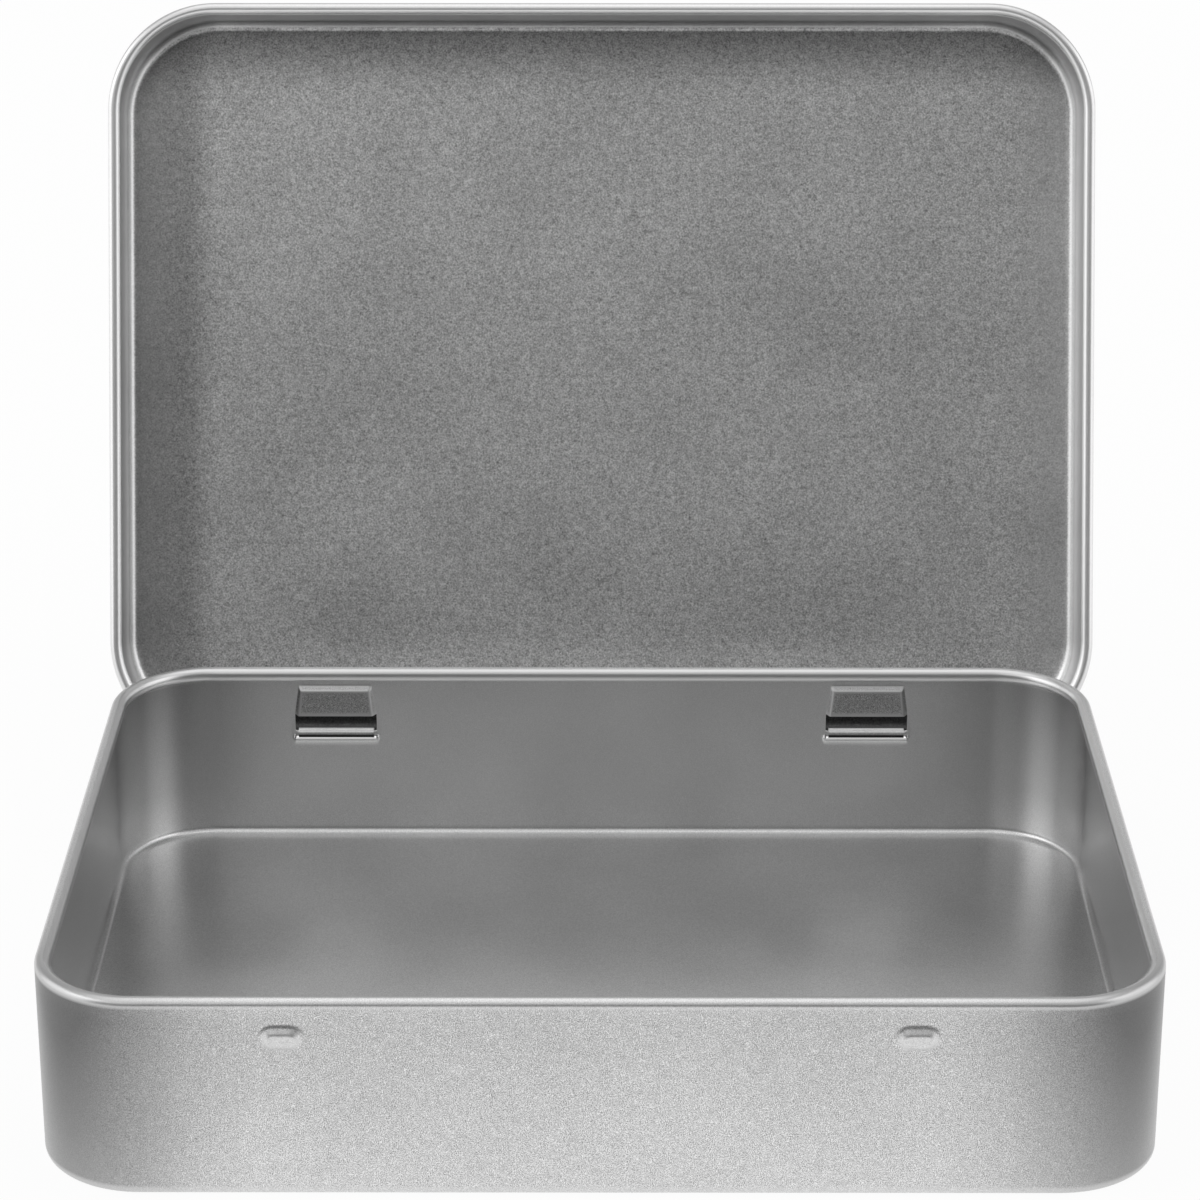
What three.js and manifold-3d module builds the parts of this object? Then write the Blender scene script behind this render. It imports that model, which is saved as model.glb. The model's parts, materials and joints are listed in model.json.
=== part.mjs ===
// A hinged tinplate tin in two drawn pieces: the base tray, and the lid that swings on it.
// Millimetres. The origin is the middle of the tray's underside, +X runs along the hinge line,
// +Y points to the hinged back wall and +Z is up. The lid is built shut and then swung open,
// until its rolled rim stops just short of the back wall.

import * as THREE from 'three';
import { mergeVertices } from 'three/addons/utils/BufferGeometryUtils.js';
import Module from 'manifold-3d';

const wasm = await Module();
wasm.setup();

const { degToRad } = THREE.MathUtils;
const QUARTER_TURN = Math.PI / 2;
const FULL_TURN = 2 * Math.PI;

// Base tray
const BODY_WIDTH = 185;
const BODY_DEPTH = 138;
const BODY_HEIGHT = 35.7;
const CORNER_RADIUS = 17.6;
const SHEET = 0.28;
const FLOOR_BEND = 1.5;
const BODY_CURL = 1.35;

// Lid, with its clearances to the tray
const LID_CLEARANCE = 0.9;
const SEAT_GAP = 0.3;
const LID_BEND = 2.3;
const LID_CURL = 1.15;
const STOP_GAP = 0.18;

// Both rims are rolled this far round, which leaves the roll open along its length
const CURL_WRAP = degToRad(250);

// Hinge line and the curled tabs of the lid
const HINGE_INSET = 41;
const HINGE_DROP = 14.4;
const RIM_ABOVE_HINGE = 1.79;
const BAR_RADIUS = 0.52;
const BAR_CLEARANCE = 0.15;
const TAB_WIDTH = 14.6;
const TAB_WRAP = degToRad(290);
const TAB_LAP = 1.2;
const NOTCH_RELIEF = 0.8;

// Hinge stations of the tray: window, bar, hood and lip
const WINDOW_PLAY = 0.6;
const WINDOW_ABOVE = 4.2;
const WINDOW_BELOW = 0.4;
const BAR_SIDE_GAP = 0.15;
const BAR_ROOT = 0.8;
const BAR_ROOT_HEIGHT = 1.6;
const HOOD_TOP_DROP = 4.05;
const HOOD_DEPTH = 0.7;
const HOOD_LEAN = 0.5;
const HOOD_RAMP = 1.4;
const HOOD_SIDE = 0.9;
const HOOD_TAPER = 0.8;
const HOOD_CORNER = 0.6;
const LIP_HEIGHT = 2.4;
const LIP_RISE = 1.9;
const LIP_DEPTH = 0.95;
const LIP_REACH = 0.6;
const LIP_CORNER = 0.8;

// Oval bumps pressed out of the front wall
const BUMP_INSET = 41.5;
const BUMP_DROP = 6.9;
const BUMP_WIDTH = 7.2;
const BUMP_HEIGHT = 4.7;
const BUMP_RISE = 0.8;
const BUMP_SHOULDER = 1.6;

// Satin tinplate
const TINPLATE = { color: 0xb3b5b7, roughness: 0.45, metalness: 1 };

// Fineness of the curves, how far a cutting solid runs past what it cuts, and how far a joined
// piece of sheet stays inside the faces of the sheet it joins
const CORNER_STEPS = 10;
const BEND_STEP = degToRad(15);
const ROUND_STEPS = 24;
const ARC_STEPS = 5;
const OVERRUN = 0.5;
const TUCK = 0.02;

// Values that follow from the sizes above
const BACK_OUTSIDE = BODY_DEPTH / 2;
const BACK_INSIDE = BACK_OUTSIDE - SHEET;
const FRONT_OUTSIDE = -BODY_DEPTH / 2;
const TAB_SHEET = SHEET - 2 * TUCK;
const TAB_RADIUS = BAR_RADIUS + BAR_CLEARANCE + TAB_SHEET / 2;
const SKIRT_MIDDLE = LID_CLEARANCE + SHEET / 2;
const HINGE_Y = BACK_OUTSIDE + SKIRT_MIDDLE - TAB_RADIUS;
const HINGE_Z = BODY_HEIGHT - HINGE_DROP;
const RIM_Z = HINGE_Z + RIM_ABOVE_HINGE;
const NOTCH_TOP = RIM_Z + LID_CURL + NOTCH_RELIEF;
const WINDOW_WIDTH = TAB_WIDTH + 2 * WINDOW_PLAY;
const WINDOW_TOP = HINGE_Z + WINDOW_ABOVE;
const WINDOW_BOTTOM = HINGE_Z - WINDOW_BELOW;
const HINGE_CENTRES = [-1, 1].map((side) => side * (BODY_WIDTH / 2 - HINGE_INSET));
const BUMP_CENTRES = [-1, 1].map((side) => side * (BODY_WIDTH / 2 - BUMP_INSET));

// The lid opens until its rolled rim, swinging about the hinge line, is STOP_GAP from the back wall
function openAngle() {
  const rimShut = new THREE.Vector2(BACK_OUTSIDE + LID_CLEARANCE + LID_CURL - HINGE_Y, RIM_ABOVE_HINGE);
  const rimAtStop = BACK_OUTSIDE + STOP_GAP + LID_CURL - HINGE_Y;
  return rimShut.angle() + Math.acos(rimAtStop / rimShut.length());
}

// Solids and booleans
function loft(rings) {
  const count = rings[0].length;
  const centre = (ring) => ring.reduce((sum, p) => sum.add(p), new THREE.Vector3()).divideScalar(count);
  const points = [...rings.flat(), centre(rings[0]), centre(rings.at(-1))];
  const firstCentre = points.length - 2;
  const lastCentre = points.length - 1;
  const lastRing = (rings.length - 1) * count;
  const index = [];
  for (let j = 0; j < count; j += 1) {
    const next = (j + 1) % count;
    index.push(firstCentre, next, j);
    index.push(lastCentre, lastRing + j, lastRing + next);
    for (let start = 0; start < lastRing; start += count) {
      index.push(start + j, start + next, start + count + next);
      index.push(start + j, start + count + next, start + count + j);
    }
  }
  const geometry = new THREE.BufferGeometry().setFromPoints(points);
  geometry.setIndex(index);
  return geometry;
}

function solid(geometry) {
  geometry.deleteAttribute('normal');
  geometry.deleteAttribute('uv');
  const merged = mergeVertices(geometry);
  const vertProperties = new Float32Array(merged.attributes.position.array);
  const triVerts = new Uint32Array(merged.index.array);
  return new wasm.Manifold(new wasm.Mesh({ numProp: 3, vertProperties, triVerts }));
}

function geometryOf(manifold) {
  const { vertProperties, triVerts } = manifold.getMesh();
  const geometry = new THREE.BufferGeometry();
  geometry.setAttribute('position', new THREE.BufferAttribute(vertProperties, 3));
  geometry.setIndex(new THREE.BufferAttribute(triVerts, 1));
  return geometry;
}

function block(low, high) {
  const size = high.clone().sub(low);
  const middle = low.clone().add(high).divideScalar(2);
  return solid(new THREE.BoxGeometry(size.x, size.y, size.z).translate(middle.x, middle.y, middle.z));
}

// Sheet bent along its middle line: each step runs straight or bends, to the left when positive.
// The two faces of the sheet come back as point lists.
function bendSheet(start, heading, thickness, steps) {
  const left = [];
  const right = [];
  const at = start.clone();
  let angle = heading;
  const sideways = () => new THREE.Vector2(-Math.sin(angle), Math.cos(angle));
  const keepFaces = () => {
    const half = sideways().multiplyScalar(thickness / 2);
    left.push(at.clone().add(half));
    right.push(at.clone().sub(half));
  };
  keepFaces();
  for (const { run, bend, radius } of steps) {
    if (run) {
      at.add(new THREE.Vector2(Math.cos(angle), Math.sin(angle)).multiplyScalar(run));
      keepFaces();
      continue;
    }
    const count = Math.ceil(Math.abs(bend) / BEND_STEP);
    const centre = at.clone().add(sideways().multiplyScalar(Math.sign(bend) * radius));
    for (let k = 0; k < count; k += 1) {
      at.rotateAround(centre, bend / count);
      angle += bend / count;
      keepFaces();
    }
  }
  return { left, right };
}

// Plan outline of the tray's wall, grown outward or inward, at one height
function planOutline(grow, z) {
  const radius = CORNER_RADIUS + grow;
  const points = [];
  for (let corner = 0; corner < 4; corner += 1) {
    const diagonal = (corner + 0.5) * QUARTER_TURN;
    const x = Math.sign(Math.cos(diagonal)) * (BODY_WIDTH / 2 - CORNER_RADIUS);
    const y = Math.sign(Math.sin(diagonal)) * (BODY_DEPTH / 2 - CORNER_RADIUS);
    for (let step = 0; step <= CORNER_STEPS; step += 1) {
      const angle = (corner + step / CORNER_STEPS) * QUARTER_TURN;
      points.push(new THREE.Vector3(x + radius * Math.cos(angle), y + radius * Math.sin(angle), z));
    }
  }
  return points;
}

// A drawn shell: the bent sheet is carried round the plan outline, and its flat closes it
function drawnShell(faces) {
  const path = [...faces.right, ...faces.left.reverse()];
  return solid(loft(path.map((point) => planOutline(point.x, point.y))));
}

// Rounded four-sided outline in the plane of the front or back wall, listed as seen from the front
function wallOutline({ lowHalf, highHalf, low, high, lowCorner, highCorner }, centre, y) {
  const corners = [
    { x: lowHalf, z: low, radius: lowCorner, inX: -1, inZ: 1 },
    { x: highHalf, z: high, radius: highCorner, inX: -1, inZ: -1 },
    { x: -highHalf, z: high, radius: highCorner, inX: 1, inZ: -1 },
    { x: -lowHalf, z: low, radius: lowCorner, inX: 1, inZ: 1 },
  ];
  const points = [];
  corners.forEach(({ x, z, radius, inX, inZ }, order) => {
    const steps = radius > 0 ? ARC_STEPS : 0;
    for (let step = 0; step <= steps; step += 1) {
      const angle = (order - 1 + step / ARC_STEPS) * QUARTER_TURN;
      const px = centre + x + radius * (inX + Math.cos(angle));
      const pz = z + radius * (inZ + Math.sin(angle));
      points.push(new THREE.Vector3(px, y, pz));
    }
  });
  return points;
}

// The hood over a hinge window: a ramp down from the wall to a flat panel, which leans further in
// towards the window where it ends. The same shape, smaller by the sheet and run on into the window,
// is its hollow from behind.
function hood(centre, inset, y, depth) {
  const root = {
    lowHalf: WINDOW_WIDTH / 2 - inset,
    highHalf: WINDOW_WIDTH / 2 - HOOD_TAPER - inset,
    low: inset ? WINDOW_TOP - OVERRUN : WINDOW_TOP,
    high: BODY_HEIGHT - HOOD_TOP_DROP - inset,
    lowCorner: 0,
    highCorner: HOOD_CORNER,
  };
  const panel = {
    ...root,
    lowHalf: root.lowHalf - HOOD_SIDE,
    highHalf: root.highHalf - HOOD_SIDE,
    high: root.high - HOOD_RAMP,
  };
  const flat = wallOutline(panel, centre, y - depth);
  for (const point of flat) {
    point.y -= (HOOD_LEAN * (panel.high - point.z)) / (panel.high - panel.low);
  }
  return solid(loft([wallOutline(root, centre, y), flat]));
}

// The lip under a hinge window: it flares inward along a quarter round, most of all at its top edge.
// Its hollow is made in the same way.
function lip(centre, inset, y, depth) {
  const rings = [];
  for (let step = 0; step <= ARC_STEPS; step += 1) {
    const angle = (step / ARC_STEPS) * QUARTER_TURN;
    const half = WINDOW_WIDTH / 2 + LIP_REACH - LIP_CORNER * Math.sin(angle) - inset;
    const outline = {
      lowHalf: half,
      highHalf: half,
      low: WINDOW_BOTTOM - LIP_HEIGHT + LIP_RISE * Math.sin(angle) + inset,
      high: inset ? WINDOW_BOTTOM + OVERRUN : WINDOW_BOTTOM,
      lowCorner: 0,
      highCorner: 0,
    };
    rings.push(wallOutline(outline, centre, y - depth * (1 - Math.cos(angle))));
  }
  return solid(loft(rings));
}

// The bar across a hinge window: round where the tab turns on it, flat where it runs into the wall
function bar(centre) {
  const straight = TAB_WIDTH / 2 + BAR_SIDE_GAP;
  const root = { y: BACK_OUTSIDE - SHEET / 2, thick: SHEET / 2 - TUCK, high: BAR_ROOT_HEIGHT / 2 };
  const round = { y: HINGE_Y, thick: BAR_RADIUS, high: BAR_RADIUS };
  const stations = [
    { x: -WINDOW_WIDTH / 2 - BAR_ROOT, ...root },
    { x: -WINDOW_WIDTH / 2, ...root },
    { x: -straight, ...round },
    { x: straight, ...round },
    { x: WINDOW_WIDTH / 2, ...root },
    { x: WINDOW_WIDTH / 2 + BAR_ROOT, ...root },
  ];
  const ring = ({ x, y, thick, high }) => Array.from({ length: ROUND_STEPS }, (_, k) => {
    const angle = (FULL_TURN * k) / ROUND_STEPS;
    return new THREE.Vector3(centre + x, y + thick * Math.cos(angle), HINGE_Z + high * Math.sin(angle));
  });
  return solid(loft(stations.map(ring)));
}

function windowCut(centre) {
  const half = WINDOW_WIDTH / 2;
  return block(
    new THREE.Vector3(centre - half, BACK_INSIDE - HOOD_DEPTH - HOOD_LEAN - OVERRUN, WINDOW_BOTTOM),
    new THREE.Vector3(centre + half, BACK_OUTSIDE + OVERRUN, WINDOW_TOP),
  );
}

// An oval bump in the front wall, pressed outward with sloping flanks
function bump(centre, inset, y) {
  const middle = BODY_HEIGHT - BUMP_DROP;
  const outlineAt = (shoulder, at) => {
    const radius = BUMP_HEIGHT / 2 - shoulder - inset;
    const half = BUMP_WIDTH / 2 - shoulder - inset;
    return wallOutline({
      lowHalf: half,
      highHalf: half,
      low: middle - radius,
      high: middle + radius,
      lowCorner: radius,
      highCorner: radius,
    }, centre, at);
  };
  return solid(loft([outlineAt(0, y + SHEET), outlineAt(0, y), outlineAt(BUMP_SHOULDER, y - BUMP_RISE)]));
}

function baseTray() {
  const faces = bendSheet(new THREE.Vector2(-FLOOR_BEND, SHEET / 2), 0, SHEET, [
    { bend: QUARTER_TURN, radius: FLOOR_BEND - SHEET / 2 },
    { run: BODY_HEIGHT - BODY_CURL - FLOOR_BEND },
    { bend: CURL_WRAP, radius: BODY_CURL - SHEET / 2 },
  ]);
  let tray = drawnShell(faces);
  for (const centre of HINGE_CENTRES) {
    tray = tray
      .add(hood(centre, 0, BACK_INSIDE + SHEET / 2, HOOD_DEPTH + SHEET / 2))
      .add(lip(centre, 0, BACK_INSIDE + SHEET / 2, LIP_DEPTH + SHEET / 2))
      .subtract(hood(centre, SHEET, BACK_OUTSIDE + SHEET, HOOD_DEPTH + SHEET))
      .subtract(lip(centre, SHEET, BACK_OUTSIDE + SHEET, LIP_DEPTH + SHEET))
      .subtract(windowCut(centre))
      .add(bar(centre));
  }
  for (const centre of BUMP_CENTRES) {
    tray = tray
      .add(bump(centre, 0, FRONT_OUTSIDE))
      .subtract(bump(centre, SHEET, FRONT_OUTSIDE + SHEET));
  }
  return tray;
}

// A hinge tab: the lid's sheet runs straight down from the skirt and is curled round the bar
function tab(centre) {
  const top = new THREE.Vector2(BACK_OUTSIDE + SKIRT_MIDDLE, NOTCH_TOP + TAB_LAP);
  const { left, right } = bendSheet(top, -QUARTER_TURN, TAB_SHEET, [
    { run: top.y - HINGE_Z },
    { bend: -TAB_WRAP, radius: TAB_RADIUS },
  ]);
  const section = new THREE.Shape([...right, ...left.reverse()]);
  const strip = new THREE.ExtrudeGeometry(section, { depth: TAB_WIDTH, bevelEnabled: false });
  const alongHinge = new THREE.Matrix4().makeBasis(
    new THREE.Vector3(0, 1, 0),
    new THREE.Vector3(0, 0, 1),
    new THREE.Vector3(1, 0, 0),
  );
  return solid(strip.applyMatrix4(alongHinge).translate(centre - TAB_WIDTH / 2, 0, 0));
}

// The rolled rim is notched away round each tab
function notchCut(centre) {
  const half = TAB_WIDTH / 2 + NOTCH_RELIEF;
  const outermost = BACK_OUTSIDE + LID_CLEARANCE + 2 * LID_CURL;
  return block(
    new THREE.Vector3(centre - half, BACK_OUTSIDE, RIM_Z - LID_CURL - OVERRUN),
    new THREE.Vector3(centre + half, outermost + OVERRUN, NOTCH_TOP),
  );
}

function lid() {
  const panelMiddle = BODY_HEIGHT + SEAT_GAP + SHEET / 2;
  const bendRadius = LID_BEND - SHEET / 2;
  const faces = bendSheet(new THREE.Vector2(SKIRT_MIDDLE - bendRadius, panelMiddle), 0, SHEET, [
    { bend: -QUARTER_TURN, radius: bendRadius },
    { run: panelMiddle - bendRadius - RIM_Z },
    { bend: CURL_WRAP, radius: LID_CURL - SHEET / 2 },
  ]);
  let shell = drawnShell(faces);
  for (const centre of HINGE_CENTRES) {
    shell = shell.subtract(notchCut(centre)).add(tab(centre));
  }
  return shell;
}

function piece(name, manifold) {
  const mesh = new THREE.Mesh(geometryOf(manifold), new THREE.MeshStandardMaterial(TINPLATE));
  mesh.name = name;
  return mesh;
}

const tin = new THREE.Group();
tin.name = 'hinged_tin';
tin.add(piece('base_tray', baseTray()));

const swing = new THREE.Group();
swing.name = 'lid_swing';
swing.position.set(0, HINGE_Y, HINGE_Z);
swing.rotation.x = -openAngle();
const lidPiece = piece('lid', lid());
lidPiece.position.set(0, -HINGE_Y, -HINGE_Z);
swing.add(lidPiece);
tin.add(swing);

export default tin;
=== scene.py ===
import json
import math

import bmesh
import bpy
import numpy as np
from mathutils import Matrix, Vector


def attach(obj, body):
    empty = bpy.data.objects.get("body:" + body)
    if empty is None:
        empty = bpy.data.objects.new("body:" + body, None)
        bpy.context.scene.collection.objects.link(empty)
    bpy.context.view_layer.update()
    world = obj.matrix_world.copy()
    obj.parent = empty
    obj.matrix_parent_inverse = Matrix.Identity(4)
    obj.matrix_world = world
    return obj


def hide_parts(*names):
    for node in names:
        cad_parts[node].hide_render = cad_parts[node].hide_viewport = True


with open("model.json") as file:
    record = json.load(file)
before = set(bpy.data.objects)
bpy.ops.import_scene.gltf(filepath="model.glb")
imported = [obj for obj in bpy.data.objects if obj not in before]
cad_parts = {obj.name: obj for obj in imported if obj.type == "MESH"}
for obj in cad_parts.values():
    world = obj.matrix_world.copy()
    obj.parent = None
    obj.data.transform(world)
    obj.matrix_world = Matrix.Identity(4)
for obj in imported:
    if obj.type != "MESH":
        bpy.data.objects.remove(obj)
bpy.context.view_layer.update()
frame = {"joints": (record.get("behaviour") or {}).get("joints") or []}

MM = 0.001
QUARTER_TURN = math.pi / 2
FULL_TURN = 2 * math.pi
SIDES = (-1, 1)

# Base tray
BODY_WIDTH = 185 * MM
BODY_DEPTH = 138 * MM
BODY_HEIGHT = 35.7 * MM
CORNER_RADIUS = 17.6 * MM
SHEET = 0.28 * MM
FLOOR_BEND = 1.5 * MM
BODY_CURL = 1.35 * MM

# Lid, with its clearances to the tray
LID_CLEARANCE = 0.9 * MM
SEAT_GAP = 0.3 * MM
LID_BEND = 2.3 * MM
LID_CURL = 1.15 * MM
CURL_WRAP = math.radians(250)

# Hinge line, bars and tabs
HINGE_INSET = 41 * MM
RIM_ABOVE_HINGE = 1.79 * MM
BAR_RADIUS = 0.52 * MM
BAR_CLEARANCE = 0.15 * MM
BAR_SIDE_GAP = 0.15 * MM
BAR_ROOT = 0.8 * MM
BAR_ROOT_HEIGHT = 1.6 * MM
TAB_WIDTH = 14.6 * MM
TAB_WRAP = math.radians(290)
NOTCH_RELIEF = 0.8 * MM

# Hinge stations of the tray
WINDOW_PLAY = 0.6 * MM
WINDOW_ABOVE = 4.2 * MM
WINDOW_BELOW = 0.6 * MM
HOOD_TOP_DROP = 4.05 * MM
HOOD_DEPTH = 0.7 * MM
HOOD_LEAN = 0.5 * MM
HOOD_RAMP = 1.4 * MM
HOOD_SIDE = 0.9 * MM
HOOD_TAPER = 0.8 * MM
LIP_HEIGHT = 2.4 * MM
LIP_DEPTH = 0.95 * MM
LIP_FLARE = 4
LIP_REACH = 0.6 * MM
LIP_CORNER = 0.8 * MM

# Bumps of the front wall
BUMP_INSET = 41.5 * MM
BUMP_DROP = 6.9 * MM
BUMP_WIDTH = 7.2 * MM
BUMP_HEIGHT = 4.7 * MM
BUMP_RISE = 0.8 * MM
BUMP_SHOULDER = 1.6 * MM

# Fineness of the meshes
CORNER_STEPS = 28
BEND_STEPS = 10
CURL_STEPS = 30
ROUND_STEPS = 32
COARSE_STEP = 9 * MM
FINE_STEP = 0.3 * MM
LIP_STEP = FINE_STEP / 2
STOP_SPACING = COARSE_STEP / 4
GUARD = 0.4 * MM
ROW_SLACK = FINE_STEP / 4
SAME_PLACE = SHEET / 10
LEAST_EDGE = SHEET / 100
BEND_LINES = (-0.28 * MM, -0.14 * MM, 0, 0.14 * MM, 0.28 * MM)

# Shares of a flat's size at which it has a ring of faces, closest near its edge
FLAT_RINGS = (0.994, 0.98, 0.96, 0.94, 0.92, 0.9, 0.88, 0.86, 0.84, 0.82, 0.79, 0.55, 0.28)

# Share of a pressed flank that each of its rounded bends takes up
PRESS_EASE = 0.1

# Values that follow from the sizes above and from the hinge of the solids
hinge = frame["joints"][0]
HINGE_POINT = Vector(hinge["pos_m"])
HINGE_AXIS = Vector(hinge["axis"])
OPEN_ANGLE = math.radians(hinge["range_deg"][1])
HINGE_Z = HINGE_POINT.z
BACK = BODY_DEPTH / 2
RIM_Z = HINGE_Z + RIM_ABOVE_HINGE
NOTCH_TOP = RIM_Z + LID_CURL + NOTCH_RELIEF
SKIRT_MIDDLE = LID_CLEARANCE + SHEET / 2
TAB_RADIUS = BAR_RADIUS + BAR_CLEARANCE + SHEET / 2
TAB_HALF = TAB_WIDTH / 2
WINDOW_HALF = TAB_HALF + WINDOW_PLAY
WINDOW_TOP = HINGE_Z + WINDOW_ABOVE
WINDOW_BOTTOM = HINGE_Z - WINDOW_BELOW
HOOD_TOP = BODY_HEIGHT - HOOD_TOP_DROP
LIP_BOTTOM = WINDOW_BOTTOM - LIP_HEIGHT
HINGE_CENTRES = [side * (BODY_WIDTH / 2 - HINGE_INSET) for side in SIDES]
BUMP_CENTRES = [side * (BODY_WIDTH / 2 - BUMP_INSET) for side in SIDES]
BUMP_Z = BODY_HEIGHT - BUMP_DROP


# Mesh helpers
def spaced(low, high, step):
    """Even stops from low to high, at most a step apart."""
    count = max(1, math.ceil((high - low) / step))
    return [low + (high - low) * k / count for k in range(count + 1)]


def arc(centre, radius, start, turn, count):
    """Points of an arc in the section plane, without its first point."""
    angles = [start + turn * k / count for k in range(1, count + 1)]
    return [(centre[0] + radius * math.cos(a), centre[1] + radius * math.sin(a)) for a in angles]


def eased(t):
    """0 up to 0, then a straight flank up to 1, with both bends rounded."""
    def ramp(s):
        blend = np.clip(s + PRESS_EASE, 0, 2 * PRESS_EASE) ** 2 / (4 * PRESS_EASE)
        return np.where(s > PRESS_EASE, s, blend)
    return (ramp(t - PRESS_EASE) - ramp(t - 1 + PRESS_EASE)) / (1 - 2 * PRESS_EASE)


def smooth_step(value, low, high):
    share = np.clip((value - low) / (high - low), 0, 1)
    return share * share * (3 - 2 * share)


def merged(values):
    """Sorted stops, with stops that all but fall together taken as one."""
    kept = []
    for value in sorted(values):
        if not kept or value - kept[-1] > SAME_PLACE:
            kept.append(value)
    return kept


def wall_stations(back_stops, front_stops):
    """Places round the outside of the tray's wall, and the outward direction at each."""
    straight_x = BODY_WIDTH / 2 - CORNER_RADIUS
    straight_y = BODY_DEPTH / 2 - CORNER_RADIUS
    side_stops = spaced(GUARD - straight_y, straight_y - GUARD, COARSE_STEP)
    coarse = spaced(GUARD - straight_x, straight_x - GUARD, COARSE_STEP)
    back = merged(back_stops + [x for x in coarse if clear_of(x, back_stops)])
    front = merged(front_stops + [x for x in coarse if clear_of(x, front_stops)])
    sides = [
        [(BODY_WIDTH / 2, y) for y in side_stops],
        [(x, BODY_DEPTH / 2) for x in reversed(back)],
        [(-BODY_WIDTH / 2, y) for y in reversed(side_stops)],
        [(x, -BODY_DEPTH / 2) for x in front],
    ]
    places = []
    outward = []
    for number, side in enumerate(sides):
        facing = number * QUARTER_TURN
        places += side
        outward += [(math.cos(facing), math.sin(facing))] * len(side)
        diagonal = facing + QUARTER_TURN / 2
        centre_x = math.copysign(straight_x, math.cos(diagonal))
        centre_y = math.copysign(straight_y, math.sin(diagonal))
        for step in range(CORNER_STEPS + 1):
            angle = facing + QUARTER_TURN * step / CORNER_STEPS
            direction = (math.cos(angle), math.sin(angle))
            place_x = centre_x + CORNER_RADIUS * direction[0]
            place_y = centre_y + CORNER_RADIUS * direction[1]
            places.append((place_x, place_y))
            outward.append(direction)
    return np.array(places), np.array(outward)


def clear_of(x, stops):
    return all(abs(x - stop) > STOP_SPACING for stop in stops)


def about_hinges(half_stops):
    """Places along X on both sides of the middle of each hinge."""
    places = []
    for centre in HINGE_CENTRES:
        for side in SIDES:
            places += [centre + side * stop for stop in half_stops]
    return places


def offset_from(x, centres):
    """Distance along X from the nearest of the centres, with its sign."""
    gaps = np.stack([x - centre for centre in centres])
    nearest = np.abs(gaps).argmin(0)
    return np.take_along_axis(gaps, nearest[None], 0)[0]


def sheet_object(name, points, keep, extras=()):
    """A sheet of the real thickness from a grid of points on its middle surface: columns run round
    the wall, rows from the flat to the rim. Quads that aren't kept are openings."""
    columns, rows, _ = points.shape
    flat_ring = points[:, 0]
    middle = flat_ring.mean(0)
    rings = [middle + (flat_ring - middle) * share for share in FLAT_RINGS]
    form = bmesh.new()
    grid = [[form.verts.new(points[c, r]) for r in range(rows)] for c in range(columns)]
    flat = [[form.verts.new(ring[c]) for ring in rings] for c in range(columns)]
    hub = form.verts.new(middle)
    for c in range(columns):
        after = (c + 1) % columns
        for r in range(rows - 1):
            if keep[c, r]:
                form.faces.new((grid[c][r], grid[after][r], grid[after][r + 1], grid[c][r + 1]))
        here = [grid[c][0]] + flat[c]
        there = [grid[after][0]] + flat[after]
        for r in range(len(FLAT_RINGS)):
            form.faces.new((here[r + 1], there[r + 1], there[r], here[r]))
        form.faces.new((hub, there[-1], here[-1]))
    loose = [vert for vert in form.verts if not vert.link_faces]
    bmesh.ops.delete(form, geom=loose, context="VERTS")
    bmesh.ops.recalc_face_normals(form, faces=form.faces)
    middle_mesh = bpy.data.meshes.new(name + "_middle")
    form.to_mesh(middle_mesh)
    form.free()
    piece = bpy.data.objects.new(name, middle_mesh)
    bpy.context.scene.collection.objects.link(piece)
    thicken = piece.modifiers.new("sheet", "SOLIDIFY")
    thicken.thickness = SHEET
    thicken.offset = 0
    thicken.use_even_offset = True
    thicken.use_quality_normals = True
    bpy.context.view_layer.update()
    formed = piece.evaluated_get(bpy.context.evaluated_depsgraph_get())
    thick = bpy.data.meshes.new_from_object(formed)
    thick.name = name
    piece.modifiers.clear()
    piece.data = thick
    bpy.data.meshes.remove(middle_mesh)
    form = bmesh.new()
    form.from_mesh(thick)
    for rings_of_extra in extras:
        add_loft(form, rings_of_extra)
    bmesh.ops.recalc_face_normals(form, faces=form.faces)
    form.to_mesh(thick)
    form.free()
    return piece


def add_loft(form, rings):
    """A closed solid through rings of points."""
    verts = [[form.verts.new(point) for point in ring] for ring in rings]
    count = len(verts[0])
    for low, high in zip(verts, verts[1:]):
        for k in range(count):
            after = (k + 1) % count
            form.faces.new((low[k], low[after], high[after], high[k]))
    form.faces.new(list(reversed(verts[0])))
    form.faces.new(verts[-1])


# Base tray
def hood_half(z):
    """Half the hood's width at a height: it draws in towards its top."""
    share = np.clip((z - WINDOW_TOP) / (HOOD_TOP - WINDOW_TOP), 0, 1)
    return WINDOW_HALF - HOOD_TAPER * share


def hood_depth(offset, z):
    """How far the hood is pressed in: a ramp at its top and sides, and a panel that leans inward."""
    side = (hood_half(z) - np.abs(offset)) / HOOD_SIDE
    top = (HOOD_TOP - z) / HOOD_RAMP
    panel_top = HOOD_TOP - HOOD_RAMP
    depth = HOOD_DEPTH + HOOD_LEAN * np.clip((panel_top - z) / (panel_top - WINDOW_TOP), 0, 1)
    return np.where(z > WINDOW_TOP - ROW_SLACK, depth * eased(np.minimum(side, top)), 0)


def lip_depth(offset, z):
    """The lip flares more and more towards its top edge."""
    across = smooth_step(WINDOW_HALF + LIP_REACH - np.abs(offset), 0, LIP_CORNER)
    up = np.clip((z - LIP_BOTTOM) / LIP_HEIGHT, 0, 1)
    return np.where(z < WINDOW_BOTTOM + ROW_SLACK, LIP_DEPTH * across * up ** LIP_FLARE, 0)


def inside_bump(offset, z):
    """How far a point lies inside a bump's outline."""
    radius = BUMP_HEIGHT / 2
    beyond = np.maximum(np.abs(offset) - (BUMP_WIDTH / 2 - radius), 0)
    return radius - np.hypot(beyond, z - BUMP_Z)


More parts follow.
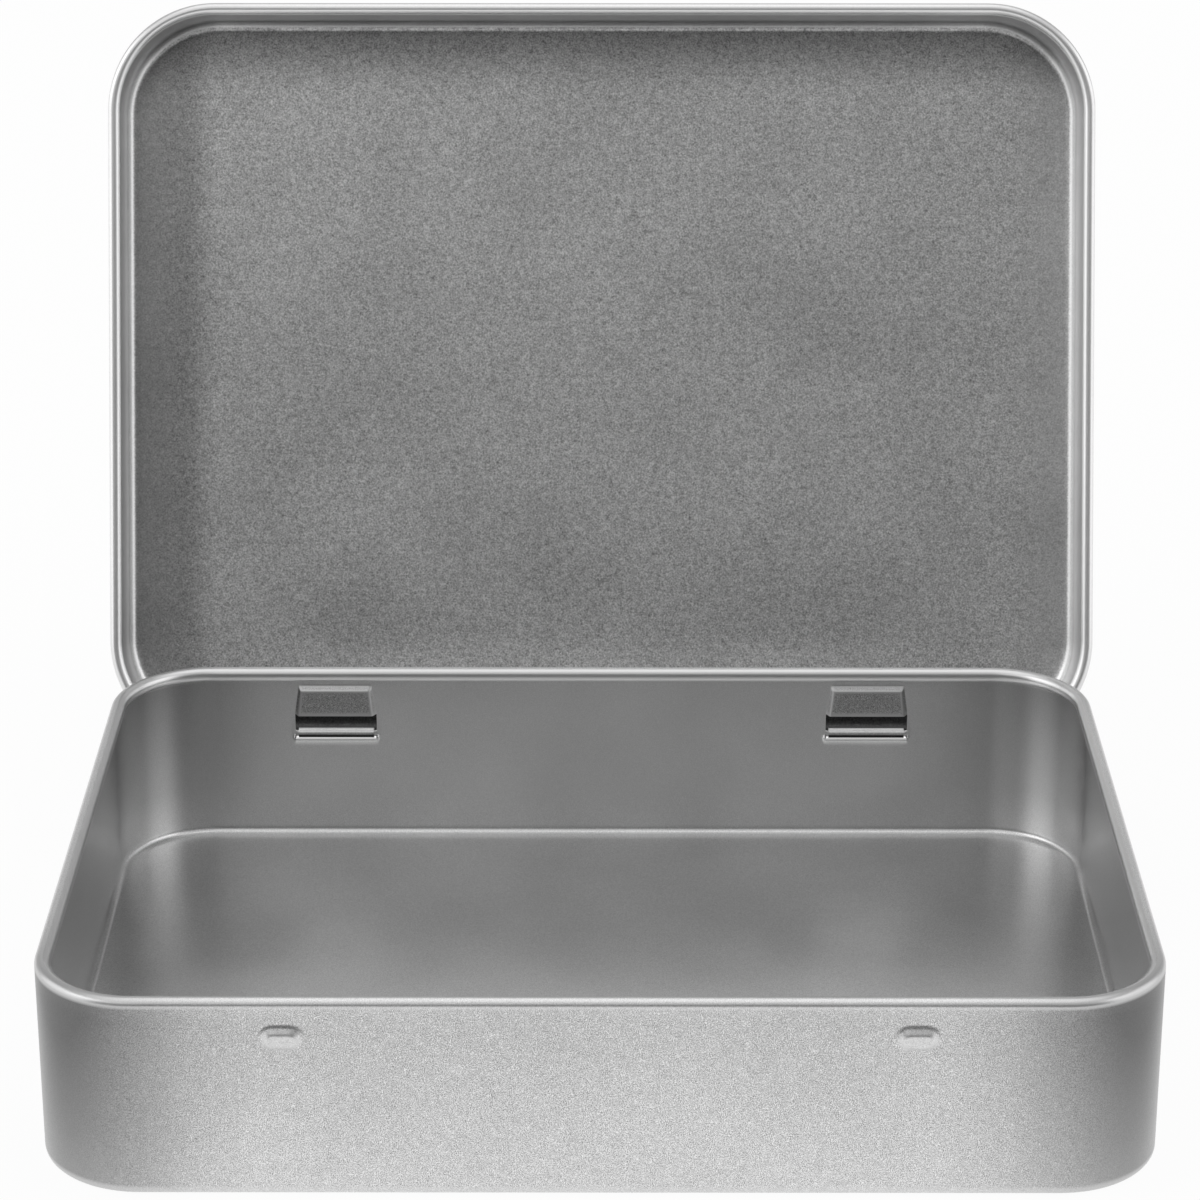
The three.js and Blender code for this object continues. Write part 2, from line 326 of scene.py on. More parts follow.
def bump_rise(offset, z):
    return BUMP_RISE * eased(inside_bump(offset, z) / BUMP_SHOULDER)


def bar_rings(centre):
    """Rings of a hinge's bar: round along the tab, flat at its two roots in the wall."""
    straight = TAB_HALF + BAR_SIDE_GAP
    flat = (BACK - SHEET / 2, SHEET / 4, BAR_ROOT_HEIGHT / 2)
    round_part = (HINGE_POINT.y, BAR_RADIUS, BAR_RADIUS)
    stations = [
        (-WINDOW_HALF - BAR_ROOT, flat),
        (-WINDOW_HALF, flat),
        (-straight, round_part),
        (straight, round_part),
        (WINDOW_HALF, flat),
        (WINDOW_HALF + BAR_ROOT, flat),
    ]
    turns = [FULL_TURN * k / ROUND_STEPS for k in range(ROUND_STEPS)]
    rings = []
    for x, (y, thick, high) in stations:
        rings.append([
            (centre + x, y + thick * math.cos(turn), HINGE_Z + high * math.sin(turn))
            for turn in turns
        ])
    return rings


def tray_rows():
    """Rows of the tray's sheet, as growth outward and height: floor bend, wall and rolled rim."""
    bend_radius = FLOOR_BEND - SHEET / 2
    rows = [(-FLOOR_BEND, SHEET / 2)]
    rows += arc((-FLOOR_BEND, FLOOR_BEND), bend_radius, -QUARTER_TURN, QUARTER_TURN, BEND_STEPS)
    wall_top = BODY_HEIGHT - BODY_CURL
    heights = spaced(FLOOR_BEND + GUARD, LIP_BOTTOM - GUARD, COARSE_STEP)
    heights += spaced(LIP_BOTTOM, WINDOW_BOTTOM, FINE_STEP)
    heights += [WINDOW_BOTTOM + GUARD, WINDOW_TOP - GUARD, WINDOW_TOP, WINDOW_TOP + GUARD]
    heights += [HOOD_TOP + line for line in BEND_LINES]
    heights += [HOOD_TOP - HOOD_RAMP + line for line in BEND_LINES]
    heights += spaced(BUMP_Z - BUMP_HEIGHT / 2, BUMP_Z + BUMP_HEIGHT / 2, FINE_STEP)
    heights += [wall_top - GUARD, wall_top]
    rows += [(-SHEET / 2, z) for z in merged(heights)]
    rows += arc((-BODY_CURL, wall_top), BODY_CURL - SHEET / 2, 0, CURL_WRAP, CURL_STEPS)
    return np.array(rows)


def base_tray():
    """The tray's sheet with its hinge stations and bumps, and the two bars of the hinge."""
    half_stops = [WINDOW_HALF + line for line in BEND_LINES]
    half_stops += [WINDOW_HALF - HOOD_SIDE / 2]
    half_stops += [WINDOW_HALF - HOOD_SIDE + line for line in BEND_LINES]
    lip_half = WINDOW_HALF + LIP_REACH
    half_stops += spaced(lip_half - LIP_CORNER, lip_half, LIP_STEP)
    half_stops += [WINDOW_HALF / 3, WINDOW_HALF * 2 / 3, lip_half + GUARD]
    back_stops = about_hinges(half_stops)
    bump_reach = BUMP_WIDTH / 2 + FINE_STEP
    front_stops = []
    for centre in BUMP_CENTRES:
        front_stops += spaced(centre - bump_reach, centre + bump_reach, FINE_STEP)
    places, outward = wall_stations(back_stops, front_stops)
    rows = tray_rows()
    grow = rows[None, :, 0, None]
    flat = places[:, None] + outward[:, None] * grow
    height = np.broadcast_to(rows[None, :, 1], flat.shape[:2])
    across = np.broadcast_to(places[:, None, 0], flat.shape[:2]).copy()
    is_wall = np.isclose(rows[:, 0], -SHEET / 2)[None] & (rows[None, :, 1] > FLOOR_BEND)
    straight = np.abs(places[:, 0]) < BODY_WIDTH / 2 - CORNER_RADIUS
    on_back = (straight & (places[:, 1] > 0))[:, None]
    on_front = (straight & (places[:, 1] < 0))[:, None]
    offset = offset_from(across, HINGE_CENTRES)
    at_hood = np.abs(offset) < WINDOW_HALF + SHEET
    drawn_in = np.where(at_hood, offset * (hood_half(height) / WINDOW_HALF - 1), 0)
    slid = np.where(on_back, drawn_in, 0)
    pressed = hood_depth(offset + slid, height) + lip_depth(offset, height)
    pressed = np.where(on_back & is_wall, pressed, 0)
    raised = bump_rise(offset_from(across, BUMP_CENTRES), height)
    raised = np.where(on_front & is_wall, raised, 0)
    flat = flat + outward[:, None] * (raised - pressed)[..., None]
    flat[..., 0] += slid
    points = np.concatenate([flat, height[..., None]], 2)
    after = np.roll(places[:, 0], -1)
    first = np.abs(offset_from(places[:, 0], HINGE_CENTRES)) < WINDOW_HALF + SAME_PLACE
    second = np.abs(offset_from(after, HINGE_CENTRES)) < WINDOW_HALF + SAME_PLACE
    in_window = on_back[:, 0] & first & second
    in_rows = (rows[:-1, 1] > WINDOW_BOTTOM - SAME_PLACE) & (rows[1:, 1] < WINDOW_TOP + SAME_PLACE)
    in_rows &= is_wall[0, :-1]
    keep = ~(in_window[:, None] & in_rows[None])
    bars = [bar_rings(centre) for centre in HINGE_CENTRES]
    piece = sheet_object("tray_sheet", points, keep, bars)
    shade(piece.data)
    paint_tray(piece.data)
    return piece


# Lid, formed shut and then swung open about the hinge
def lid_rows():
    """Rows of the lid's sheet: down to the notches, then the rim's roll, and at the tabs their curl."""
    panel = BODY_HEIGHT + SEAT_GAP + SHEET / 2
    bend_radius = LID_BEND - SHEET / 2
    shared = [(SKIRT_MIDDLE - bend_radius, panel)]
    bend_centre = (SKIRT_MIDDLE - bend_radius, panel - bend_radius)
    shared += arc(bend_centre, bend_radius, QUARTER_TURN, -QUARTER_TURN, BEND_STEPS)
    skirt_heights = [NOTCH_TOP] + spaced(NOTCH_TOP + GUARD, panel - bend_radius - GUARD, COARSE_STEP)
    shared += [(SKIRT_MIDDLE, z) for z in reversed(skirt_heights)]
    roll_radius = LID_CURL - SHEET / 2
    rolled = [(SKIRT_MIDDLE, RIM_Z + GUARD), (SKIRT_MIDDLE, RIM_Z)]
    rolled += arc((SKIRT_MIDDLE + roll_radius, RIM_Z), roll_radius, math.pi, CURL_WRAP, CURL_STEPS)
    curled = [(SKIRT_MIDDLE, HINGE_Z + GUARD), (SKIRT_MIDDLE, HINGE_Z)]
    curled += arc((SKIRT_MIDDLE - TAB_RADIUS, HINGE_Z), TAB_RADIUS, 0, -TAB_WRAP, CURL_STEPS)
    return np.array(shared), np.array(rolled), np.array(curled)


def lid():
    """The lid's sheet, with a curled tab at each hinge and a notch on either side of it."""
    notch_half = TAB_HALF + NOTCH_RELIEF
    half_stops = [TAB_HALF / 2, TAB_HALF - GUARD, TAB_HALF, notch_half, notch_half + GUARD]
    places, outward = wall_stations(about_hinges(half_stops), [])
    shared, rolled, curled = lid_rows()
    on_back = (np.abs(places[:, 0]) < BODY_WIDTH / 2 - CORNER_RADIUS) & (places[:, 1] > 0)
    offset = np.abs(offset_from(places[:, 0], HINGE_CENTRES))
    after = np.abs(offset_from(np.roll(places[:, 0], -1), HINGE_CENTRES))
    is_tab = on_back & (offset < TAB_HALF + SAME_PLACE)
    end_rows = np.where(is_tab[:, None, None], curled[None], rolled[None])
    start_rows = np.broadcast_to(shared[None], (len(places),) + shared.shape)
    rows = np.concatenate([start_rows, end_rows], 1)
    flat = places[:, None] + outward[:, None] * rows[..., :1]
    points = np.concatenate([flat, rows[..., 1:]], 2)
    is_notch = on_back & (np.minimum(offset, after) > TAB_HALF - SAME_PLACE)
    is_notch &= np.maximum(offset, after) < notch_half + SAME_PLACE
    keep = np.ones((points.shape[0], points.shape[1] - 1), bool)
    keep[is_notch, len(shared) - 1:] = False
    piece = sheet_object("lid_sheet", points, keep)
    shade(piece.data)
    paint_lid(piece.data)
    swing = Matrix.Translation(HINGE_POINT) @ Matrix.Rotation(-OPEN_ANGLE, 4, HINGE_AXIS)
    piece.data.transform(swing @ Matrix.Translation(-HINGE_POINT))
    return piece


# Painted on the points of the sheets: edges that rub bright and painted sheen, painted shade, painted
# shade in creases, and grain
SMOOTH_ANGLE = math.radians(38)
WEAR_REACH = 0.9 * MM
NEAR_WALL = CORNER_RADIUS / 2
WALL_START = FLOOR_BEND / 2
WALL_FULL = 2 * FLOOR_BEND
# Painted shade on the tray: where it stops short of the rolled rim, its reach along the walls, and its
# strength outside, inside, along the side walls and on the hinge hoods
OUTSIDE_ROLL_START = BODY_HEIGHT - 1.5 * BODY_CURL
OUTSIDE_ROLL_FULL = BODY_HEIGHT - 0.5 * BODY_CURL
INSIDE_ROLL_START = BODY_HEIGHT - 2.4 * BODY_CURL
INSIDE_ROLL_FULL = BODY_HEIGHT - 1.9 * BODY_CURL
OUTSIDE_FADE = 19 * MM
INSIDE_FADE = 9 * MM
OUTSIDE_TOP_SHADE = 1.0
OUTSIDE_BOTTOM_SHADE = 0.74
WALL_TOP_SHADE = 0.22
INSIDE_TOP_SHADE = 1.2
INSIDE_BOTTOM_SHADE = 0.5
INSIDE_SIDE_SHADE = 0.25
HOOD_SHADE = 0.3
# Painted shade in the crease above each bump, and painted sheen, partly from rubbing, on the bumps
BUMP_CREASE = 0.4 * MM
BUMP_CREASE_SHADE = 0.75
BUMP_WEAR_AND_SHEEN = 0.7
# Painted shade on the lid's outer skirt corners
SKIRT_CORNER_SHADE = 0.6
# Painted sheen on the lid's inner side skirts
SKIRT_SHEEN = 1.0
PANEL_FADE = 14 * MM

# Painted shade in bands along the lid's inside panel, in place of dark reflections: where each starts
# to fade, where it ends, and its shade
PANEL_LEFT = {"from": 10 * MM, "to": 17 * MM, "shade": 0.45}
PANEL_FRONT = {"from": 2 * MM, "to": 14 * MM, "shade": 0.58}
PANEL_RIGHT = {"from": 4 * MM, "to": 16 * MM, "shade": 0.5}

# Painted shade in the crease inside the lid along its back edge: where it starts and where it is full
CREASE_START = 6 * MM
CREASE_END = 2 * MM

# The part of a tab's curl that gets painted shade, as a turn about the hinge line
CURL_SHADE_FROM = math.radians(-78)
CURL_SHADE_TO = math.radians(10)
CURL_SHADE_EDGE = math.radians(12)

# Shares of the full grain
INSIDE_GRAIN = 0.15
FLOOR_GRAIN = 0.32
PANEL_EDGE_GRAIN = 0.5
LID_TOP_GRAIN = 0.4


def vertex_arrays(mesh):
    spots = np.empty(len(mesh.vertices) * 3)
    mesh.vertices.foreach_get("co", spots)
    facing = np.empty(len(mesh.vertices) * 3)
    mesh.vertices.foreach_get("normal", facing)
    return spots.reshape(-1, 3), facing.reshape(-1, 3)


def paint(mesh, label, value):
    """A share from 0 to 1 for every point, which the material reads by its label."""
    layer = mesh.attributes.new(label, "FLOAT", "POINT")
    layer.data.foreach_set("value", np.clip(value, 0, 1).astype(np.float32))


def corner_share(spots, fade):
    """1 in the middle of the rounded corners, fading out along the straight walls beside them: where
    painted shade goes and grain thins.
    """
    reach = CORNER_RADIUS + fade
    along_x = (np.abs(spots[:, 0]) - BODY_WIDTH / 2 + reach) / reach
    along_y = (np.abs(spots[:, 1]) - BODY_DEPTH / 2 + reach) / reach
    return smooth_step(along_x, 0, 1) * smooth_step(along_y, 0, 1)


def side_share(spots):
    """1 along the side walls, fading out towards the middle of the front and back walls."""
    reach = CORNER_RADIUS + OUTSIDE_FADE
    return smooth_step(np.abs(spots[:, 0]), BODY_WIDTH / 2 - reach, BODY_WIDTH / 2)


def up_the_wall(spots, low, high):
    """A value that goes from low at the foot of the tray's wall to high at its rim."""
    return low + (high - low) * np.clip(spots[:, 2] / BODY_HEIGHT, 0, 1)


def is_outside(spots, facing, middle_z):
    """Which points lie on the outer face of a sheet, seen from the middle of its hollow."""
    return ((spots - np.array((0, 0, middle_z))) * facing).sum(1) > 0


def shade(mesh):
    """Smooth shading, with the cut edges left sharp."""
    mesh.shade_smooth()
    mesh.set_sharp_from_angle(angle=SMOOTH_ANGLE)


def paint_wear_and_sheen(mesh, spots, facing, least_sheen):
    """How far each point stands out as an edge that rubs bright, and no less than the painted sheen
    given, but none in the hinge.
    """
    edges = np.empty(len(mesh.edges) * 2, np.int64)
    mesh.edges.foreach_get("vertices", edges)
    first, second = edges.reshape(-1, 2).T
    run = spots[second] - spots[first]
    length_squared = np.maximum((run * run).sum(1), LEAST_EDGE ** 2)
    turn = ((facing[second] - facing[first]) * run).sum(1) / length_squared
    sharpest = np.zeros(len(spots))
    np.maximum.at(sharpest, first, turn)
    np.maximum.at(sharpest, second, turn)
    from_hinge = np.hypot(spots[:, 1] - HINGE_POINT.y, spots[:, 2] - HINGE_Z)
    edge_wear_or_sheen = np.maximum(sharpest * WEAR_REACH, least_sheen)
    paint(mesh, "wear_and_sheen", np.where(from_hinge > TAB_RADIUS + SHEET, edge_wear_or_sheen, 0))


def paint_tray(mesh):
    spots, facing = vertex_arrays(mesh)
    outside = is_outside(spots, facing, BODY_HEIGHT / 2)
    across = spots[:, 0]
    height = spots[:, 2]
    hooded = hood_depth(offset_from(across, HINGE_CENTRES), height) / HOOD_DEPTH
    hooded = np.where(spots[:, 1] > BACK - NEAR_WALL, hooded, 0)
    in_bump = inside_bump(offset_from(across, BUMP_CENTRES), height)
    in_bump = np.where(spots[:, 1] < NEAR_WALL - BACK, in_bump, -BUMP_WIDTH)
    on_bump = smooth_step(in_bump, 0, BUMP_SHOULDER / 2)
    crease = 1 - smooth_step(np.abs(in_bump), 0, BUMP_CREASE)
    crease *= smooth_step(height - BUMP_Z, 0, BUMP_HEIGHT / 2)
    # Painted shade outside: on the corners, growing up the wall, and towards the rim except on the
    # bumps and the roll
    corner = corner_share(spots, OUTSIDE_FADE)
    outer = corner * up_the_wall(spots, OUTSIDE_BOTTOM_SHADE, OUTSIDE_TOP_SHADE)
    outer_roll = smooth_step(height, OUTSIDE_ROLL_START, OUTSIDE_ROLL_FULL)
    outer += (1 - on_bump) * (1 - outer_roll) * up_the_wall(spots, 0, WALL_TOP_SHADE)
    # Painted shade inside: in the corners, darker towards the rim, along the side walls and on the
    # hinge hoods
    inner = up_the_wall(spots, INSIDE_BOTTOM_SHADE, INSIDE_TOP_SHADE) * corner_share(spots, INSIDE_FADE)
    inner = np.maximum(inner, INSIDE_SIDE_SHADE * side_share(spots))
    inner = np.maximum(inner, HOOD_SHADE * np.minimum(hooded, 1))
    on_wall = smooth_step(height, WALL_START, WALL_FULL)
    inner_roll = smooth_step(height, INSIDE_ROLL_START, INSIDE_ROLL_FULL)
    # Edges that rub bright, and painted sheen, partly from rubbing, on the bumps
    paint_wear_and_sheen(mesh, spots, facing, np.where(outside, BUMP_WEAR_AND_SHEEN * on_bump, 0))
    # Painted shade on the corners, walls and hoods
    paint(mesh, "painted_shade", np.where(outside, outer, inner * on_wall * (1 - inner_roll)))
    # Painted shade in the crease above each bump
    paint(mesh, "crevice_shade", np.where(outside, BUMP_CREASE_SHADE * crease, 0))
    inner_grain = FLOOR_GRAIN + (INSIDE_GRAIN - FLOOR_GRAIN) * on_wall
    outer_grain = np.maximum(INSIDE_GRAIN, 1 - corner ** 2)
    paint(mesh, "grain", np.where(outside, outer_grain, np.maximum(inner_grain, hooded)))


def edge_band(distance, band):
    """The shade of a band along an edge, which fades out away from the edge."""
    return band["shade"] * (1 - smooth_step(distance, band["from"], band["to"]))


def paint_lid(mesh):
    spots, facing = vertex_arrays(mesh)
    outside = is_outside(spots, facing, HINGE_Z)
    panel = BODY_HEIGHT + SEAT_GAP
    on_panel = spots[:, 2] > panel - SHEET
    from_left = spots[:, 0] + BODY_WIDTH / 2
    from_right = BODY_WIDTH / 2 - spots[:, 0]
    # Painted shade in bands along the inside panel's edges, in place of dark reflections
    left = edge_band(from_left, PANEL_LEFT)
    right = edge_band(from_right, PANEL_RIGHT)
    front = edge_band(spots[:, 1] + BACK, PANEL_FRONT)
    front_right = right * front / PANEL_FRONT["shade"]
    panel_shade = 1 - (1 - left) * (1 - front) * (1 - front_right)
    # Painted shade in the crease inside along the back edge
    crease = smooth_step(spots[:, 1], BACK - CREASE_START, BACK - CREASE_END)
    # Painted sheen on the inner side skirts below the bend
    below_bend = 1 - smooth_step(spots[:, 2], panel - LID_BEND, panel - LID_BEND / 2)
    sheen_on_skirt = SKIRT_SHEEN * np.abs(facing[:, 0]) * below_bend
    paint_wear_and_sheen(mesh, spots, facing, np.where(outside | on_panel, 0, sheen_on_skirt))
    # Painted shade on the outer corners of the skirt
    skirt_shade = SKIRT_CORNER_SHADE * corner_share(spots, OUTSIDE_FADE)
    outer_shade = np.where(on_panel, 0, skirt_shade)
    inner_shade = np.where(on_panel, panel_shade, 0)
    paint(mesh, "painted_shade", np.where(outside, outer_shade, inner_shade))
    off_edge = smooth_step(np.minimum(from_left, from_right), 0, PANEL_FADE)
    panel_grain = PANEL_EDGE_GRAIN + (1 - PANEL_EDGE_GRAIN) * off_edge
    inner_grain = np.where(on_panel, panel_grain, INSIDE_GRAIN)
    paint(mesh, "grain", np.where(outside, LID_TOP_GRAIN, inner_grain))
    # Painted shade on the part of each tab's curl under the hinge line, and in the back crease inside
    from_hinge = spots[:, 1:] - np.array((HINGE_POINT.y, HINGE_Z))
    turn = np.arctan2(from_hinge[:, 1], from_hinge[:, 0])
    under = smooth_step(turn, CURL_SHADE_FROM, CURL_SHADE_FROM + CURL_SHADE_EDGE)
    under *= 1 - smooth_step(turn, CURL_SHADE_TO - CURL_SHADE_EDGE, CURL_SHADE_TO)
    on_curl = np.hypot(from_hinge[:, 0], from_hinge[:, 1]) < TAB_RADIUS + SHEET
    paint(mesh, "crevice_shade", np.where(on_curl, under, np.where(outside, 0, crease)))


# Materials
def node(tree, kind, inputs=None, **settings):
    made = tree.nodes.new(kind)
    for key, value in settings.items():
        setattr(made, key, value)
    for key, value in (inputs or {}).items():
        if isinstance(value, bpy.types.NodeSocket):
            tree.links.new(value, made.inputs[key])
        else:
            made.inputs[key].default_value = value
    return made


def math_node(tree, operation, first, second=0):
    return node(tree, "ShaderNodeMath", {0: first, 1: second}, operation=operation).outputs[0]


def mapped(tree, value, low, high):
    """A 0 to 1 value drawn out between two others."""
    settings = {"Value": value, "To Min": low, "To Max": high}
    return node(tree, "ShaderNodeMapRange", settings).outputs[0]


def noise(tree, place, size, detail):
    settings = {"Vector": place, "Scale": 1 / size, "Detail": detail}
    return node(tree, "ShaderNodeTexNoise", settings).outputs["Fac"]


def new_material(name):
    made = bpy.data.materials.new(name)
    made.use_nodes = True
    made.node_tree.nodes.clear()
    return made


# Metal of both pieces: colours, roughness, and the size and strength of grain, sparks and clouds
TINPLATE = (0.66, 0.66, 0.66, 1)
# Colours of edges that rub bright and of painted sheen; the lid's is brighter for painted highlights on
# its bead
TRAY_WEAR_AND_SHEEN_COLOUR = (0.72, 0.72, 0.72, 1)
LID_WEAR_AND_SHEEN_COLOUR = (0.86, 0.86, 0.86, 1)
SMOOTH_ROUGHNESS = 0.29
GRAINY_ROUGHNESS = 0.34
EDGE_ROUGHNESS = 0.34
CLOUD_ROUGHNESS = 0.05
# Colour factors at full painted shade and at full painted shade in creases
PAINTED_SHADE_TONE = 0.2
CREVICE_SHADE_TONE = 0.08
TRAY_GRAIN = 0.17 * MM
LID_GRAIN = 0.34 * MM
TRAY_SPECK = 0.08
LID_SPECK = 0.3
TRAY_CONTRAST = 3.5
LID_CONTRAST = 2.8
SPECK_SIZE = 1.1 * MM
SPARK_SIZE = 0.28 * MM
SPARK_START = 0.68
SPARK_FULL = 0.78
SPARK_GAIN = 0.35
CLOUD_SIZE = 24 * MM
CLOUD_CONTRAST = 0.22
GRAIN_RELIEF = 0.012 * MM
GRAIN_DETAIL = 2
CLOUD_DETAIL = 3
SPARK_DETAIL = 0
NOISE_MIDDLE = 0.5


def attribute(tree, label):
    return node(tree, "ShaderNodeAttribute", attribute_name=label).outputs["Fac"]


def centred(tree, value, gain):
    """A noise value as a factor about 1."""
    return mapped(tree, value, 1 - gain / 2, 1 + gain / 2)


def tinplate(name, grain_size, contrast, speck_share, wear_and_sheen_colour):
    """Satin metal with grain, sparks and a cloudy tone, brighter on edges that rub bright and under
    painted sheen, darker under painted shade.
    """
    made = new_material(name)
    tree = made.node_tree
    place = node(tree, "ShaderNodeTexCoord").outputs["Object"]
    grain_share = attribute(tree, "grain")
    wear_and_sheen = attribute(tree, "wear_and_sheen")
    painted_shade = attribute(tree, "painted_shade")
    crevice_shade = attribute(tree, "crevice_shade")
    grain = noise(tree, place, grain_size, GRAIN_DETAIL)
    speck = noise(tree, place, SPECK_SIZE, GRAIN_DETAIL)
    cloud = noise(tree, place, CLOUD_SIZE, CLOUD_DETAIL)
    spark = noise(tree, place, SPARK_SIZE, SPARK_DETAIL)
    mottle = node(tree, "ShaderNodeMix", {"Factor": speck_share, "A": grain, "B": speck}).outputs[0]
    spread = math_node(tree, "SUBTRACT", mottle, NOISE_MIDDLE)
    spread = math_node(tree, "MULTIPLY", spread, contrast)
    lit = node(tree, "ShaderNodeMapRange", {
        "Value": spark,
        "From Min": SPARK_START,
        "From Max": SPARK_FULL,
        "To Max": SPARK_GAIN,
    }).outputs[0]
    spread = math_node(tree, "ADD", spread, lit)
    grain_tone = math_node(tree, "ADD", math_node(tree, "MULTIPLY", spread, grain_share), 1)
    cloud_tone = centred(tree, cloud, CLOUD_CONTRAST)
    # Painted shade and painted shade in creases darken the colour
    painted_shade_tone = mapped(tree, painted_shade, 1, PAINTED_SHADE_TONE)
    crevice_shade_tone = mapped(tree, crevice_shade, 1, CREVICE_SHADE_TONE)
    tone = math_node(tree, "MULTIPLY", grain_tone, cloud_tone)
    tone = math_node(tree, "MULTIPLY", tone, math_node(tree, "MULTIPLY", painted_shade_tone, crevice_shade_tone))
    plate = node(tree, "ShaderNodeVectorMath", {0: TINPLATE[:3], "Scale": tone}, operation="SCALE")
    # Edges that rub bright and painted sheen brighten the colour
    colour = node(tree, "ShaderNodeMix", {"Factor": wear_and_sheen}, data_type="RGBA")
    tree.links.new(plate.outputs[0], colour.inputs["A"])
    colour.inputs["B"].default_value = wear_and_sheen_colour
    satin = mapped(tree, grain_share, SMOOTH_ROUGHNESS, GRAINY_ROUGHNESS)
    satin = math_node(tree, "ADD", satin, mapped(tree, cloud, -CLOUD_ROUGHNESS, CLOUD_ROUGHNESS))
    rough = node(tree, "ShaderNodeMix", {"Factor": wear_and_sheen, "A": satin, "B": EDGE_ROUGHNESS}).outputs[0]
    height = math_node(tree, "MULTIPLY", grain, grain_share)
    bump = node(tree, "ShaderNodeBump", {"Height": height, "Strength": 1, "Distance": GRAIN_RELIEF})
    shader = node(tree, "ShaderNodeBsdfPrincipled", {
        "Base Color": colour.outputs["Result"],
        "Metallic": 1,
        "Roughness": rough,
        "Normal": bump.outputs["Normal"],
    })
    node(tree, "ShaderNodeOutputMaterial", {"Surface": shader.outputs[0]})
    return made


# The two pieces, each on its body and in place of its solid
tray_finish = (TRAY_GRAIN, TRAY_CONTRAST, TRAY_SPECK, TRAY_WEAR_AND_SHEEN_COLOUR)
lid_finish = (LID_GRAIN, LID_CONTRAST, LID_SPECK, LID_WEAR_AND_SHEEN_COLOUR)
for piece, body, cad_node, slot_name, finish in (
    (base_tray(), "tray", "base_tray", "tray_tinplate", tray_finish),
    (lid(), "lid", "lid", "lid_tinplate", lid_finish),
):
    piece.data.materials.append(tinplate(slot_name, *finish))
    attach(piece, body)
    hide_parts(cad_node)

# Floor, in metres
FLOOR_SIZE = 120
FLOOR_COLOUR = (0.9, 0.9, 0.9, 1)
FLOOR_GLOW = 0.94
WHITE = (1, 1, 1, 1)


def pale_floor():
    """A white floor that still takes the object's shadow."""
    form = bmesh.new()
    bmesh.ops.create_grid(form, x_segments=1, y_segments=1, size=FLOOR_SIZE / 2)
    mesh = bpy.data.meshes.new("floor")
    form.to_mesh(mesh)
    form.free()
    floor = bpy.data.objects.new("floor", mesh)
    bpy.context.scene.collection.objects.link(floor)
    made = new_material("floor_white")
    tree = made.node_tree
    path = node(tree, "ShaderNodeLightPath").outputs
    seen = math_node(tree, "MAXIMUM", path["Is Camera Ray"], path["Is Glossy Ray"])
    seen = math_node(tree, "MAXIMUM", seen, path["Is Transmission Ray"])
    matt = node(tree, "ShaderNodeBsdfDiffuse", {"Color": FLOOR_COLOUR})
    glow = node(tree, "ShaderNodeEmission", {"Color": WHITE, "Strength": 1})
    share = math_node(tree, "MULTIPLY", seen, FLOOR_GLOW)
    mix = node(tree, "ShaderNodeMixShader", {0: share, 1: matt.outputs[0], 2: glow.outputs[0]})
    node(tree, "ShaderNodeOutputMaterial", {"Surface": mix.outputs[0]})
    mesh.materials.append(made)


# Light of the studio: a dim room, brighter towards the back, and soft boxes with angles in degrees.
# A turn runs from the front towards the right.
ROOM_LIGHT = 0.148
BACK_LIGHT = 0.65
SOFT_EDGE = math.radians(10)
SOFT_BOXES = (
    {"turn": 0, "height": 90, "half_turn": 200, "half_height": 32, "strength": 1.0},
    {"turn": 0, "height": 44, "half_turn": 12, "half_height": 9, "strength": 0.3},
    {"turn": -45, "height": 40, "half_turn": 41, "half_height": 14, "strength": 0.82},
    {"turn": 45, "height": 40, "half_turn": 38, "half_height": 14, "strength": 0.45},
    {"turn": -85, "height": 20, "half_turn": 35, "half_height": 25, "strength": 1.2},
    {"turn": 85, "height": 20, "half_turn": 35, "half_height": 25, "strength": 1.1},
)


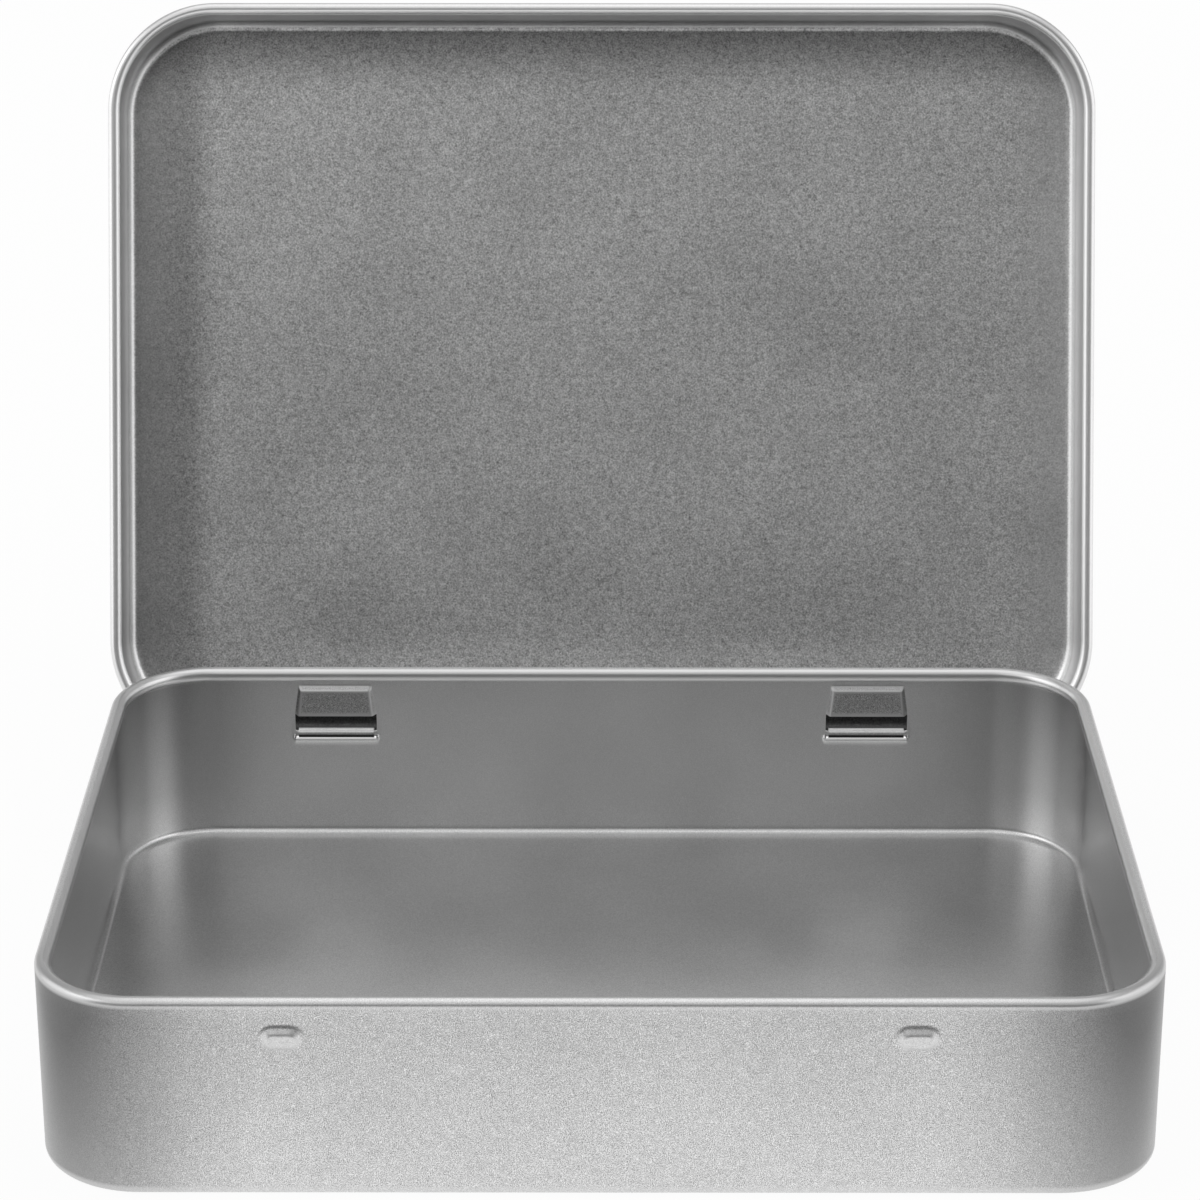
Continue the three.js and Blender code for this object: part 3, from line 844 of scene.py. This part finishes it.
def soft_window(tree, value, centre, half):
    """1 within half of the centre, fading to 0 across a soft edge."""
    away = math_node(tree, "ABSOLUTE", math_node(tree, "SUBTRACT", value, centre))
    return node(tree, "ShaderNodeMapRange", {
        "Value": away,
        "From Min": half - SOFT_EDGE,
        "From Max": half + SOFT_EDGE,
        "To Min": 1,
        "To Max": 0,
    }, interpolation_type="SMOOTHSTEP").outputs[0]


def studio_light():
    world = bpy.data.worlds.new("studio")
    bpy.context.scene.world = world
    world.use_nodes = True
    tree = world.node_tree
    tree.nodes.clear()
    direction = node(tree, "ShaderNodeTexCoord").outputs["Generated"]
    parts = node(tree, "ShaderNodeSeparateXYZ", {"Vector": direction}).outputs
    turn = math_node(tree, "ARCTAN2", parts["X"], math_node(tree, "MULTIPLY", parts["Y"], -1))
    height = math_node(tree, "ARCSINE", parts["Z"])
    level = mapped(tree, parts["Y"], ROOM_LIGHT, BACK_LIGHT)
    for box in SOFT_BOXES:
        across = soft_window(tree, turn, math.radians(box["turn"]), math.radians(box["half_turn"]))
        up = soft_window(tree, height, math.radians(box["height"]), math.radians(box["half_height"]))
        shine = math_node(tree, "MULTIPLY", math_node(tree, "MULTIPLY", across, up), box["strength"])
        level = math_node(tree, "ADD", level, shine)
    back = node(tree, "ShaderNodeBackground", {"Color": WHITE, "Strength": level})
    node(tree, "ShaderNodeOutputWorld", {"Surface": back.outputs[0]})


# Camera of the photograph
CAMERA_PLACE = (1.14 * MM, -604.9 * MM, 319.2 * MM)
CAMERA_PITCH = math.radians(21.83)
CAMERA_YAW = math.radians(0.117)
FOCAL_PIXELS = 3785
PHOTO_PIXELS = 1200
SENSOR_MM = 36
CLIP_NEAR = 0.02


def photo_camera():
    lens = bpy.data.cameras.new("photo_camera")
    lens.sensor_width = SENSOR_MM
    lens.lens = SENSOR_MM * FOCAL_PIXELS / PHOTO_PIXELS
    lens.clip_start = CLIP_NEAR
    camera = bpy.data.objects.new("photo_camera", lens)
    bpy.context.scene.collection.objects.link(camera)
    camera.location = CAMERA_PLACE
    camera.rotation_euler = (QUARTER_TURN - CAMERA_PITCH, 0, CAMERA_YAW)
    bpy.context.scene.camera = camera


pale_floor()
studio_light()
photo_camera()
bpy.context.scene.view_settings.view_transform = "Standard"
